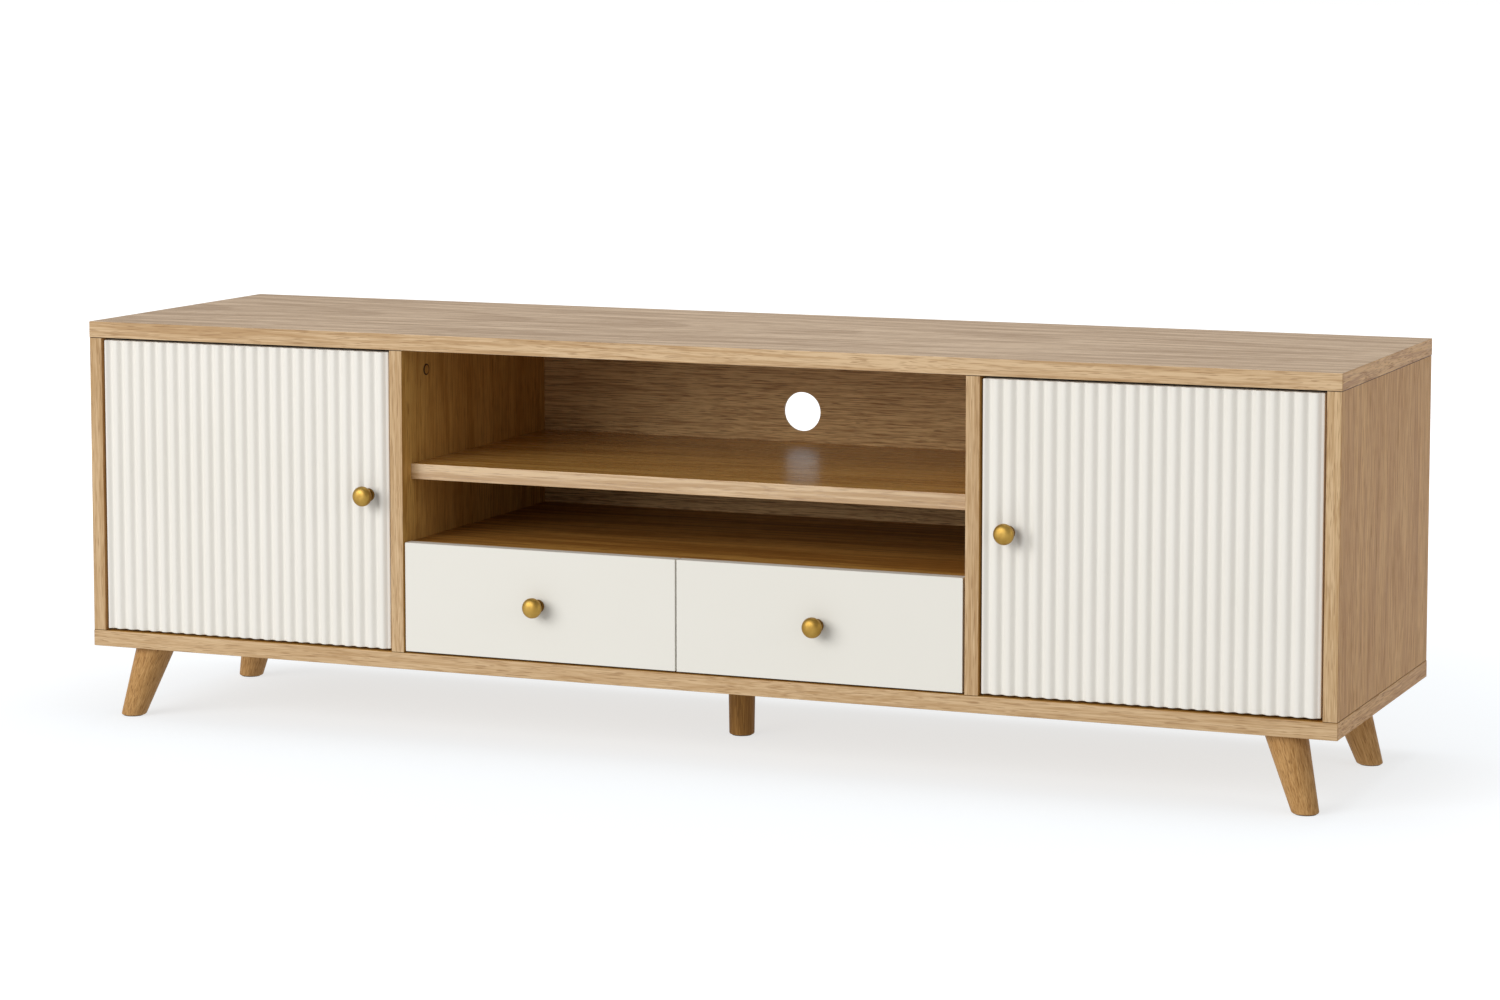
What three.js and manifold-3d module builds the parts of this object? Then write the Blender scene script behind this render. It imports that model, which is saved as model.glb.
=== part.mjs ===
// Low media cabinet on splayed legs: two fluted doors, an open middle bay and two drawers.
// Millimetres, +Z up, standing on z = 0, front towards -Y, centred on X and on its whole depth.

import * as THREE from 'three';
import { mergeVertices } from 'three/addons/utils/BufferGeometryUtils.js';
import Module from 'manifold-3d';

const wasm = await Module();
wasm.setup();

// ---------------------------------------------------------------- driving dimensions

const WIDTH = 1600;
const CARCASS_DEPTH = 430;
const HEIGHT = 500;
const LEG_HEIGHT = 90;
const BOARD = 20;
const UPRIGHT = 17;
const SIDE_SETBACK = 0.5;
const DIVIDER_INNER = 361.5;

const SHELF = 19;
const SHELF_TOP = 340;
const SHELF_RECESS = 22.5;
const DECK = 16;
const DECK_TOP = 245;
const BACK_PANEL = 5;
const BACK_INSET = 25;
const CABLE_HOLE_RADIUS = 25;
const CABLE_HOLE_HEIGHT = 379;
const BAY_SHELF = 16;
const BAY_SHELF_TOP = 303;
const BAY_SHELF_RECESS = 52.5;
const BAY_SHELF_PLAY = 1;

const DOOR = 18;
const DOOR_GAP = 3;
const DOOR_EDGE_RADIUS = 3;
const FLUTE_PITCH = 16.15;
const FLUTE_DEPTH = 4;
const FIRST_GROOVE = 8.5;
const GROOVES = 24;
const DOOR_KNOB_HEIGHT = 302;
const LEFT_KNOB_GROOVE = 22;
const RIGHT_KNOB_GROOVE = 1;

const HINGE_FROM_END = 70;
const PIN_FROM_EDGE = 17;
const PIN_FROM_FACE = 11;
const PIN_RADIUS = 1.6;
const CUP_FROM_EDGE = 22.5;
const CUP_RADIUS = 17.5;
const CUP_BORE = 15.7;
const CUP_DEPTH = 11.5;
const CUP_FLOOR = 1;
const CUP_FLANGE = 1.2;
const CUP_FLANGE_RADIUS = 20;
const CUP_WING = { half: 8, inner: 16.5, outer: 27 };
const ARM_WIDTH = 11;
const ARM_THICKNESS = 2.4;
const ARM_EYE_RADIUS = 3.2;
const ARM_LEAVES_AT = 34;
const ARM_REACH = 24;
const ARM_BACK_BEND = 5;
const ARM_SIDE_BEND = 4;
const ARM_FROM_PANEL = 6;
const ARM_LENGTH = 92;
const PLATE = { thickness: 4.5, front: 42, back: 88, half: 8 };
const PLATE_WING = { thickness: 2, front: 57, back: 73, half: 25 };

const DRAWER_FRONT = 16;
const DRAWER_FRONT_TOP = 246;
const DRAWER_FRONT_BOTTOM = 112.5;
const DRAWER_MIDDLE_GAP = 2;
const DRAWER_SIDE_GAP = 2.5;
const BEHIND_FRONT = 2;
const DRAWER_BOARD = 12;
const DRAWER_LENGTH = 350;
const DRAWER_BOX_BOTTOM = 120;
const DRAWER_BOX_TOP = 212;
const DRAWER_BACK_TOP = 205;
const DRAWER_PANEL = 6;
const DRAWER_PANEL_LIFT = 6;

const RUNNER_SPACE = 13;
const RUNNER_SHEET = 1.5;
const RUNNER_FLANGE = 10;
const CABINET_RUNNER_HEIGHT = 45;
const DRAWER_RUNNER_HEIGHT = 36;
const RUNNER_SETBACK = 2;

const KNOB_PROJECTION = 25;
const KNOB_PROFILE = [
  [7.6, 0], [7.6, 1.5], [7, 3], [6.8, 8], [7.4, 11], [9.6, 13], [11.7, 14.6],
  [12.3, 16.4], [12, 18.6], [10.9, 20.8], [9, 22.6], [6.4, 24], [3.2, 24.8],
];
const SCREW_RADIUS = 2;
const SCREW_INTO_KNOB = 8;
const SCREW_HEAD = [[4.2, 0], [4.2, 1.4], [3.2, 2.4]];
const HOLE_PLAY = 0.3;
const KNOB_HOLE_DEPTH = 10;

const LEG_TOP_RADIUS = 25;
const LEG_FOOT_RADIUS = 15;
const CENTRE_LEG_TOP_RADIUS = 17;
const CENTRE_LEG_FOOT_RADIUS = 15.5;
const FOOT_ROUNDING = 3;
const LEG_X = 731;
const FRONT_LEG_Y = -165.5;
const REAR_LEG_Y = 106.5;
const LEG_SPLAY_X = 28;
const LEG_SPLAY_Y = 13;

const CAM_COVER = { radius: 7, thickness: 1, fromFront: 64.5, belowTop: 29 };

const ROUND_SEGMENTS = 32;
const SMALL_SEGMENTS = 20;
const RIB_STEPS = 8;
const BEND_STEPS = 6;
const FOOT_STEPS = 2;

// ---------------------------------------------------------------- worked-out places

const FRONT = KNOB_PROJECTION - (CARCASS_DEPTH + KNOB_PROJECTION) / 2;
const REAR = FRONT + CARCASS_DEPTH;
const FLOOR_TOP = LEG_HEIGHT + BOARD;
const CEILING = HEIGHT - BOARD;
const SIDE_OUTER = WIDTH / 2 - SIDE_SETBACK;
const SIDE_INNER = SIDE_OUTER - UPRIGHT;
const DIVIDER_OUTER = DIVIDER_INNER + UPRIGHT;
const BACK_REAR = REAR - BACK_INSET;
const BACK_FACE = BACK_REAR - BACK_PANEL;
const DOOR_HINGE_EDGE = SIDE_INNER - DOOR_GAP;
const DOOR_FREE_EDGE = DIVIDER_OUTER + DOOR_GAP;
const DOOR_WIDTH = DOOR_HINGE_EDGE - DOOR_FREE_EDGE;
const DOOR_BOTTOM = FLOOR_TOP + DOOR_GAP;
const DOOR_TOP = CEILING - DOOR_GAP;
const DOOR_BACK = FRONT + DOOR;
const HINGE_HEIGHTS = { upper: DOOR_TOP - HINGE_FROM_END, lower: DOOR_BOTTOM + HINGE_FROM_END };
const DRAWER_FACE_BACK = FRONT + DRAWER_FRONT;
const BEHIND_DRAWER_FRONTS = DRAWER_FACE_BACK + BEHIND_FRONT;
const DECK_UNDERSIDE = DECK_TOP - DECK;
const RUNNER_HEIGHT = (DRAWER_BOX_BOTTOM + DRAWER_BOX_TOP) / 2;
const SIDES = { left: -1, right: 1 };

// ---------------------------------------------------------------- materials

function material(color, roughness, metalness = 0) {
  return new THREE.MeshStandardMaterial({ color, roughness, metalness });
}

const finishes = {
  oak: () => material(0xc8a478, 0.45),
  darkOak: () => material(0x8a6642, 0.5),
  cream: () => material(0xe6e2d6, 0.5),
  drawerWood: () => material(0xd2bd98, 0.6),
  brass: () => material(0xb9924a, 0.3, 1),
  steel: () => material(0xb8babc, 0.35, 1),
  cover: () => material(0xc2a077, 0.6),
};

// ---------------------------------------------------------------- solids and booleans

function toSolid(geometry) {
  const bare = geometry.clone();
  bare.deleteAttribute('normal');
  bare.deleteAttribute('uv');
  const merged = mergeVertices(bare);
  const corners = merged.index.array;
  const kept = [];
  for (let i = 0; i < corners.length; i += 3) {
    const [a, b, c] = corners.slice(i, i + 3);
    if (a !== b && b !== c && c !== a) {
      kept.push(a, b, c);
    }
  }
  return new wasm.Manifold(new wasm.Mesh({
    numProp: 3,
    vertProperties: merged.attributes.position.array,
    triVerts: Uint32Array.from(kept),
  }));
}

function toGeometry(solid) {
  const mesh = solid.getMesh();
  const geometry = new THREE.BufferGeometry();
  geometry.setAttribute('position', new THREE.BufferAttribute(mesh.vertProperties, 3));
  geometry.setIndex(new THREE.BufferAttribute(mesh.triVerts, 1));
  geometry.computeVertexNormals();
  return geometry;
}

function joined(...geometries) {
  return toGeometry(geometries.map(toSolid).reduce((whole, piece) => whole.add(piece)));
}

function cut(geometry, ...tools) {
  return toGeometry(tools.map(toSolid).reduce((whole, tool) => whole.subtract(tool), toSolid(geometry)));
}

// ---------------------------------------------------------------- shape helpers

const cabinet = new THREE.Group();

function add(parent, name, finish, geometry) {
  const mesh = new THREE.Mesh(geometry, finishes[finish]());
  mesh.name = name;
  parent.add(mesh);
  return mesh;
}

function ordered(a, b) {
  return [Math.min(a, b), Math.max(a, b)];
}

function box(xs, ys, zs) {
  const [x, y, z] = [ordered(...xs), ordered(...ys), ordered(...zs)];
  const geometry = new THREE.BoxGeometry(x[1] - x[0], y[1] - y[0], z[1] - z[0]);
  return geometry.translate((x[0] + x[1]) / 2, (y[0] + y[1]) / 2, (z[0] + z[1]) / 2);
}

function board(name, finish, xs, ys, zs) {
  return add(cabinet, name, finish, box(xs, ys, zs));
}

function lathe(profile, segments) {
  const points = profile.map(([radius, height]) => new THREE.Vector2(radius, height));
  return new THREE.LatheGeometry(points, segments);
}

function rodAlongY(radius, from, to) {
  return lathe([[0, from], [radius, from], [radius, to], [0, to]], SMALL_SEGMENTS);
}

function rodAlongZ(radius, from, to) {
  return rodAlongY(radius, from, to).rotateX(Math.PI / 2);
}

function prismAlongZ(points, from, to) {
  const shape = new THREE.Shape(points.map(([x, y]) => new THREE.Vector2(x, y)));
  const geometry = new THREE.ExtrudeGeometry(shape, { depth: to - from, bevelEnabled: false });
  return geometry.translate(0, 0, from);
}

// The outline is given in X and Z; the prism fills y from `from` to `to`.
function prismAlongY(shape, from, to) {
  const geometry = new THREE.ExtrudeGeometry(shape, {
    depth: to - from, bevelEnabled: false, curveSegments: SMALL_SEGMENTS,
  });
  return geometry.rotateX(Math.PI / 2).translate(0, to, 0);
}

// ---------------------------------------------------------------- carcass

function carcassBoards() {
  const fullWidth = [-WIDTH / 2, WIDTH / 2];
  const fullDepth = [FRONT, REAR];
  const inside = [FLOOR_TOP, CEILING];
  const middle = [-DIVIDER_INNER, DIVIDER_INNER];
  board('top_panel', 'oak', fullWidth, fullDepth, [CEILING, HEIGHT]);
  board('bottom_panel', 'oak', fullWidth, fullDepth, [LEG_HEIGHT, FLOOR_TOP]);
  for (const [side, sign] of Object.entries(SIDES)) {
    board(`${side}_side_panel`, 'oak', [sign * SIDE_INNER, sign * SIDE_OUTER], fullDepth, inside);
    board(`${side}_divider`, 'oak', [sign * DIVIDER_INNER, sign * DIVIDER_OUTER], fullDepth, inside);
    board(`${side}_back_panel`, 'darkOak', [sign * DIVIDER_OUTER, sign * SIDE_INNER],
      [BACK_FACE, BACK_REAR], inside);
    board(`${side}_bay_shelf`, 'oak',
      [sign * (DIVIDER_OUTER + BAY_SHELF_PLAY), sign * (SIDE_INNER - BAY_SHELF_PLAY)],
      [FRONT + BAY_SHELF_RECESS, BACK_FACE - BAY_SHELF_PLAY],
      [BAY_SHELF_TOP - BAY_SHELF, BAY_SHELF_TOP]);
  }
  board('middle_shelf', 'oak', middle, [FRONT + SHELF_RECESS, BACK_FACE],
    [SHELF_TOP - SHELF, SHELF_TOP]);
  board('drawer_deck', 'oak', middle, [BEHIND_DRAWER_FRONTS, BACK_FACE],
    [DECK_UNDERSIDE, DECK_TOP]);
  board('drawer_partition', 'oak', [-UPRIGHT / 2, UPRIGHT / 2],
    [BEHIND_DRAWER_FRONTS, BACK_FACE], [FLOOR_TOP, DECK_UNDERSIDE]);
}

function centreBackPanel() {
  const outline = new THREE.Shape();
  outline.moveTo(-DIVIDER_INNER, FLOOR_TOP);
  outline.lineTo(DIVIDER_INNER, FLOOR_TOP);
  outline.lineTo(DIVIDER_INNER, CEILING);
  outline.lineTo(-DIVIDER_INNER, CEILING);
  outline.closePath();
  const hole = new THREE.Path();
  hole.absarc(0, CABLE_HOLE_HEIGHT, CABLE_HOLE_RADIUS, 0, 2 * Math.PI, true);
  outline.holes.push(hole);
  add(cabinet, 'centre_back_panel', 'darkOak', prismAlongY(outline, BACK_FACE, BACK_REAR));
}

// A thin cap over the cam lock on the inner face of the left divider.
function camCover() {
  const cap = lathe([
    [0, 0], [CAM_COVER.radius, 0], [CAM_COVER.radius, CAM_COVER.thickness], [0, CAM_COVER.thickness],
  ], SMALL_SEGMENTS).rotateZ(-Math.PI / 2);
  const mesh = add(cabinet, 'cam_cover', 'cover', cap);
  mesh.position.set(-DIVIDER_INNER, FRONT + CAM_COVER.fromFront, CEILING - CAM_COVER.belowTop);
}

// ---------------------------------------------------------------- legs

// A turned, tapered leg whose foot leans away from its top by (splayX, splayY).
function leg(name, topRadius, footRadius, x, y, splayX, splayY) {
  const radiusAt = (height) => footRadius + (topRadius - footRadius) * height / LEG_HEIGHT;
  const profile = [[0, 0]];
  for (let step = 0; step <= FOOT_STEPS; step += 1) {
    const angle = Math.PI / 2 * step / FOOT_STEPS;
    const height = FOOT_ROUNDING * (1 - Math.cos(angle));
    profile.push([radiusAt(height) - FOOT_ROUNDING * (1 - Math.sin(angle)), height]);
  }
  profile.push([topRadius, LEG_HEIGHT], [0, LEG_HEIGHT]);
  const turned = lathe(profile, ROUND_SEGMENTS).rotateX(Math.PI / 2);
  const lean = new THREE.Matrix4().makeShear(0, 0, 0, 0, -splayX / LEG_HEIGHT, -splayY / LEG_HEIGHT);
  const mesh = add(cabinet, name, 'oak', turned.applyMatrix4(lean));
  mesh.position.set(x + splayX, y + splayY, 0);
}

function legs() {
  const rows = { front: [FRONT_LEG_Y, -LEG_SPLAY_Y], rear: [REAR_LEG_Y, LEG_SPLAY_Y] };
  for (const [row, [y, splayY]] of Object.entries(rows)) {
    for (const [side, sign] of Object.entries(SIDES)) {
      leg(`${row}_${side}_leg`, LEG_TOP_RADIUS, LEG_FOOT_RADIUS,
        sign * LEG_X, y, sign * LEG_SPLAY_X, splayY);
    }
  }
  leg('centre_leg', CENTRE_LEG_TOP_RADIUS, CENTRE_LEG_FOOT_RADIUS, 0, 0, 0, 0);
}

// ---------------------------------------------------------------- knobs

function knobGeometry() {
  const hole = SCREW_RADIUS + HOLE_PLAY;
  return lathe([
    [0, KNOB_HOLE_DEPTH], [hole, KNOB_HOLE_DEPTH], [hole, 0],
    ...KNOB_PROFILE, [0, KNOB_PROJECTION],
  ], SMALL_SEGMENTS).rotateX(Math.PI);
}

function screwGeometry(panel) {
  const tip = -(panel + SCREW_INTO_KNOB);
  const headTop = SCREW_HEAD.at(-1)[1];
  return lathe([
    [0, tip], [SCREW_RADIUS, tip], [SCREW_RADIUS, 0], ...SCREW_HEAD, [0, headTop],
  ], SMALL_SEGMENTS);
}

function screwHole(x, z) {
  return rodAlongY(SCREW_RADIUS + HOLE_PLAY, FRONT - HOLE_PLAY, DOOR_BACK + HOLE_PLAY).translate(x, 0, z);
}

function knob(owner, x, z, panel) {
  add(cabinet, `${owner}_knob`, 'brass', knobGeometry()).position.set(x, FRONT, z);
  add(cabinet, `${owner}_knob_screw`, 'steel', screwGeometry(panel)).position.set(x, FRONT + panel, z);
}

// ---------------------------------------------------------------- doors

function grooveAt(index) {
  return FIRST_GROOVE + index * FLUTE_PITCH;
}

// Height of the fluted face behind the crests, at a distance from the middle of a rib.
function ribDrop(offset) {
  const half = FLUTE_PITCH / 2;
  const radius = (half * half + FLUTE_DEPTH * FLUTE_DEPTH) / (2 * FLUTE_DEPTH);
  return radius - Math.sqrt(radius * radius - offset * offset);
}

// The front outline of a door from its left edge to its right edge, in x from the left edge.
function flutedFace() {
  const half = FLUTE_PITCH / 2;
  const corner = DOOR_EDGE_RADIUS * (1 - Math.SQRT1_2);
  const points = [[0, DOOR_EDGE_RADIUS], [corner, corner]];
  for (let rib = 0; rib <= GROOVES; rib += 1) {
    for (let step = 0; step < RIB_STEPS; step += 1) {
      const offset = (2 * step / RIB_STEPS - 1) * half;
      const x = grooveAt(rib) - half + offset;
      if (x > DOOR_EDGE_RADIUS) {
        points.push([x, ribDrop(offset)]);
      }
    }
  }
  points.push([DOOR_WIDTH, ribDrop(half)]);
  return points;
}

function doorPanel(side, sign, knobX) {
  const leftEdge = sign < 0 ? -DOOR_HINGE_EDGE : DOOR_FREE_EDGE;
  const outline = flutedFace().map(([x, drop]) => [leftEdge + x, FRONT + drop]);
  outline.push([leftEdge + DOOR_WIDTH, DOOR_BACK], [leftEdge, DOOR_BACK]);
  const slab = prismAlongZ(outline, DOOR_BOTTOM, DOOR_TOP);
  const cupX = sign * (DOOR_HINGE_EDGE - CUP_FROM_EDGE);
  const bores = Object.values(HINGE_HEIGHTS).map((z) => (
    lathe([
      [0, DOOR_BACK - CUP_DEPTH - HOLE_PLAY],
      [CUP_RADIUS + HOLE_PLAY, DOOR_BACK - CUP_DEPTH - HOLE_PLAY],
      [CUP_RADIUS + HOLE_PLAY, DOOR_BACK + HOLE_PLAY],
      [0, DOOR_BACK + HOLE_PLAY],
    ], ROUND_SEGMENTS).translate(cupX, 0, z)
  ));
  add(cabinet, `${side}_door_panel`, 'cream', cut(slab, screwHole(knobX, DOOR_KNOB_HEIGHT), ...bores));
}

function doors() {
  const knobs = {
    left: -DOOR_HINGE_EDGE + grooveAt(LEFT_KNOB_GROOVE) + FLUTE_PITCH / 2,
    right: DOOR_FREE_EDGE + grooveAt(RIGHT_KNOB_GROOVE) + FLUTE_PITCH / 2,
  };
  for (const [side, sign] of Object.entries(SIDES)) {
    doorPanel(side, sign, knobs[side]);
    knob(`${side}_door`, knobs[side], DOOR_KNOB_HEIGHT, DOOR);
  }
}

// ---------------------------------------------------------------- door hinges

// Cup pressed into the door's back, with its two screw wings and the hinge pin across it.
// Local origin: the pin's axis at the middle of the hinge; `inward` points towards the door's middle.
function cupGeometry(inward) {
  const cupX = inward * (CUP_FROM_EDGE - PIN_FROM_EDGE);
  const face = DOOR - PIN_FROM_FACE;
  const shell = lathe([
    [0, -CUP_DEPTH], [CUP_RADIUS, -CUP_DEPTH], [CUP_RADIUS, 0], [CUP_FLANGE_RADIUS, 0],
    [CUP_FLANGE_RADIUS, CUP_FLANGE], [CUP_BORE, CUP_FLANGE], [CUP_BORE, CUP_FLOOR - CUP_DEPTH],
    [0, CUP_FLOOR - CUP_DEPTH],
  ], ROUND_SEGMENTS).translate(cupX, face, 0);
  const wings = [-1, 1].map((end) => box(
    [cupX - CUP_WING.half, cupX + CUP_WING.half],
    [face, face + CUP_FLANGE],
    [end * CUP_WING.inner, end * CUP_WING.outer],
  ));
  const wallMiddle = (CUP_RADIUS + CUP_BORE) / 2;
  const pinHalf = Math.sqrt(wallMiddle ** 2 - cupX ** 2);
  return joined(shell, ...wings, rodAlongZ(PIN_RADIUS, -pinHalf, pinHalf));
}

// Middle line of the cranked arm in plan, from the pin round the door's edge and along the side panel.
function armLine() {
  const points = [[0, 0]];
  let heading = THREE.MathUtils.degToRad(ARM_LEAVES_AT);
  let [x, y] = [ARM_REACH * Math.cos(heading), ARM_REACH * Math.sin(heading)];
  const bend = (radius, turn) => {
    const side = Math.sign(turn);
    const centreX = x - side * radius * Math.sin(heading);
    const centreY = y + side * radius * Math.cos(heading);
    const start = heading;
    for (let step = 0; step <= BEND_STEPS; step += 1) {
      heading = start + turn * step / BEND_STEPS;
      x = centreX + side * radius * Math.sin(heading);
      y = centreY - side * radius * Math.cos(heading);
      points.push([x, y]);
    }
  };
  bend(ARM_BACK_BEND, Math.PI - heading);
  x = ARM_FROM_PANEL + ARM_SIDE_BEND - PIN_FROM_EDGE - DOOR_GAP;
  bend(ARM_SIDE_BEND, -Math.PI / 2);
  points.push([x, ARM_LENGTH - PIN_FROM_FACE]);
  return points;
}

// A strip of even thickness along a line of points.
function stripOutline(line, thickness) {
  const left = [];
  const right = [];
  line.forEach(([x, y], index) => {
    const [beforeX, beforeY] = line[Math.max(index - 1, 0)];
    const [afterX, afterY] = line[Math.min(index + 1, line.length - 1)];
    const length = Math.hypot(afterX - beforeX, afterY - beforeY);
    const acrossX = -(afterY - beforeY) / length * thickness / 2;
    const acrossY = (afterX - beforeX) / length * thickness / 2;
    left.push([x + acrossX, y + acrossY]);
    right.unshift([x - acrossX, y - acrossY]);
  });
  return [...left, ...right];
}

function armGeometry(inward) {
  const half = ARM_WIDTH / 2;
  const outline = stripOutline(armLine(), ARM_THICKNESS).map(([x, y]) => [inward * x, y]);
  const body = joined(prismAlongZ(outline, -half, half), rodAlongZ(ARM_EYE_RADIUS, -half, half));
  return cut(body, rodAlongZ(PIN_RADIUS + HOLE_PLAY, -ARM_WIDTH, ARM_WIDTH));
}

function plateGeometry(inward) {
  const panel = -inward * (PIN_FROM_EDGE + DOOR_GAP);
  const slab = ({ thickness, front, back, half }) => box(
    [panel, panel + inward * thickness], [front - PIN_FROM_FACE, back - PIN_FROM_FACE], [-half, half],
  );
  return joined(slab(PLATE), slab(PLATE_WING));
}

function hinges() {
  for (const [side, sign] of Object.entries(SIDES)) {
    for (const [level, height] of Object.entries(HINGE_HEIGHTS)) {
      const hinge = new THREE.Group();
      hinge.position.set(sign * (DOOR_HINGE_EDGE - PIN_FROM_EDGE), FRONT + PIN_FROM_FACE, height);
      add(hinge, `${level}_${side}_hinge_cup`, 'steel', cupGeometry(-sign));
      add(hinge, `${level}_${side}_hinge_arm`, 'steel', armGeometry(-sign));
      add(hinge, `${level}_${side}_hinge_plate`, 'steel', plateGeometry(-sign));
      cabinet.add(hinge);
    }
  }
}

// ---------------------------------------------------------------- drawers

// A channel section in X and Z whose web stands at `webX` and whose flanges point along `towards`.
function channel(webX, towards, height) {
  const half = height / 2;
  const inner = half - RUNNER_SHEET;
  const webInner = webX + towards * RUNNER_SHEET;
  const tip = webX + towards * RUNNER_FLANGE;
  const corners = [
    [webX, -half], [tip, -half], [tip, -inner], [webInner, -inner],
    [webInner, inner], [tip, inner], [tip, half], [webX, half],
  ];
  return new THREE.Shape(corners.map(([x, z]) => new THREE.Vector2(x, z)));
}

function runnerPair(drawer, end, postX, inward) {
  const cabinetRunner = prismAlongY(channel(postX, inward, CABINET_RUNNER_HEIGHT),
    BEHIND_DRAWER_FRONTS, DRAWER_FACE_BACK + DRAWER_LENGTH);
  const drawerRunner = prismAlongY(channel(postX + inward * RUNNER_SPACE, -inward, DRAWER_RUNNER_HEIGHT),
    DRAWER_FACE_BACK + RUNNER_SETBACK, DRAWER_FACE_BACK + DRAWER_LENGTH);
  add(cabinet, `${drawer}_drawer_${end}_cabinet_runner`, 'steel', cabinetRunner).position.z = RUNNER_HEIGHT;
  add(cabinet, `${drawer}_drawer_${end}_runner`, 'steel', drawerRunner).position.z = RUNNER_HEIGHT;
}

function drawer(side, sign) {
  const name = (piece) => `${side}_drawer_${piece}`;
  const middlePost = sign * UPRIGHT / 2;
  const outerPost = sign * DIVIDER_INNER;
  const innerWall = middlePost + sign * RUNNER_SPACE;
  const outerWall = outerPost - sign * RUNNER_SPACE;
  const innerFace = innerWall + sign * DRAWER_BOARD;
  const outerFace = outerWall - sign * DRAWER_BOARD;
  const rear = DRAWER_FACE_BACK + DRAWER_LENGTH;
  const boxDepth = [DRAWER_FACE_BACK, rear];
  const boxHeight = [DRAWER_BOX_BOTTOM, DRAWER_BOX_TOP];
  const panelBottom = DRAWER_BOX_BOTTOM + DRAWER_PANEL_LIFT;

  const frontSpan = [sign * DRAWER_MIDDLE_GAP / 2, sign * (DIVIDER_INNER - DRAWER_SIDE_GAP)];
  const frontHeight = [DRAWER_FRONT_BOTTOM, DRAWER_FRONT_TOP];
  const knobX = (frontSpan[0] + frontSpan[1]) / 2;
  const knobZ = (frontHeight[0] + frontHeight[1]) / 2;
  const frontBoard = box(frontSpan, [FRONT, DRAWER_FACE_BACK], frontHeight);
  add(cabinet, name('front'), 'cream', cut(frontBoard, screwHole(knobX, knobZ)));
  knob(`${side}_drawer`, knobX, knobZ, DRAWER_FRONT);

  board(name('inner_wall'), 'drawerWood', [innerWall, innerFace], boxDepth, boxHeight);
  board(name('outer_wall'), 'drawerWood', [outerFace, outerWall], boxDepth, boxHeight);
  board(name('back'), 'drawerWood', [innerFace, outerFace], [rear - DRAWER_BOARD, rear],
    [DRAWER_BOX_BOTTOM, DRAWER_BACK_TOP]);
  board(name('bottom'), 'drawerWood', [innerFace, outerFace],
    [DRAWER_FACE_BACK, rear - DRAWER_BOARD], [panelBottom, panelBottom + DRAWER_PANEL]);
  runnerPair(side, 'inner', middlePost, sign);
  runnerPair(side, 'outer', outerPost, -sign);
}

// ---------------------------------------------------------------- the whole cabinet

carcassBoards();
centreBackPanel();
camCover();
legs();
doors();
hinges();
for (const [side, sign] of Object.entries(SIDES)) {
  drawer(side, sign);
}

export default cabinet;
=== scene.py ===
import math

import bmesh
import bpy
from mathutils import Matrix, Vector


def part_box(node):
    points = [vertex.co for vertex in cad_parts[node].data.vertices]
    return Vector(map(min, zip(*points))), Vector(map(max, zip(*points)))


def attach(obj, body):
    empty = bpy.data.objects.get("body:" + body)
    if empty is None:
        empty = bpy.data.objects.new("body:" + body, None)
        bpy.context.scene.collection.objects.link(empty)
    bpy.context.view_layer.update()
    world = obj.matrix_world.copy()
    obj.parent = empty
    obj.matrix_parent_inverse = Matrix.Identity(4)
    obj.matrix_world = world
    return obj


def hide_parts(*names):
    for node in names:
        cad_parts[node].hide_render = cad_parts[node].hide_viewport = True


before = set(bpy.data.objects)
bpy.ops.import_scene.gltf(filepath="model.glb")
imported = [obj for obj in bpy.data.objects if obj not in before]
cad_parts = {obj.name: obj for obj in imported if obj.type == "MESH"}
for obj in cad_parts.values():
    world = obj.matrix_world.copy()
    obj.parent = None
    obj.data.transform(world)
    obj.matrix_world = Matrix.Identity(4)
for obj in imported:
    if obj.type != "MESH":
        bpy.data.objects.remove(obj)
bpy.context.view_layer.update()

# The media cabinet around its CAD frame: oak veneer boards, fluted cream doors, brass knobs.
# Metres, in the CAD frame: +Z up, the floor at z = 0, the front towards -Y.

SIDES = {"left": -1, "right": 1}
LEVELS = ("upper", "lower")

# ---------------------------------------------------------------- sizes, in metres

MM = 0.001
BOARD_EDGE = 0.7 * MM
PAINTED_EDGE = 0.8 * MM
METAL_EDGE = 0.25 * MM
EDGE_STEPS = 3

FLUTE_PITCH = 16.15 * MM
FLUTE_DEPTH = 4 * MM
RIB_FULLNESS = 2.6
FIRST_GROOVE = 8.5 * MM
FLUTE_STEP = 0.65 * MM
DOOR_CORNER = 3 * MM
DOOR_FRONT_EDGE = 0.8 * MM
DOOR_REAR_EDGE = 0.6 * MM
CUP_BORE_RADIUS = 17.8 * MM
CUP_BORE_DEPTH = 11.8 * MM
KNOB_BORE_RADIUS = 2.3 * MM

GLIDE_HEIGHT = 1 * MM
FOOT_ROUNDING = 2.2 * MM
LEG_SEGMENTS = 64
KNOB_SEGMENTS = 48

# ---------------------------------------------------------------- camera and light

CAMERA_PLACE = Vector((1.8827, -4.4949, 0.9667))
CAMERA_YAW = math.radians(22.61)
CAMERA_TILT = math.radians(5.75)
CAMERA_LENS = 96.3
CAMERA_SHIFT_Y = -0.1

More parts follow.
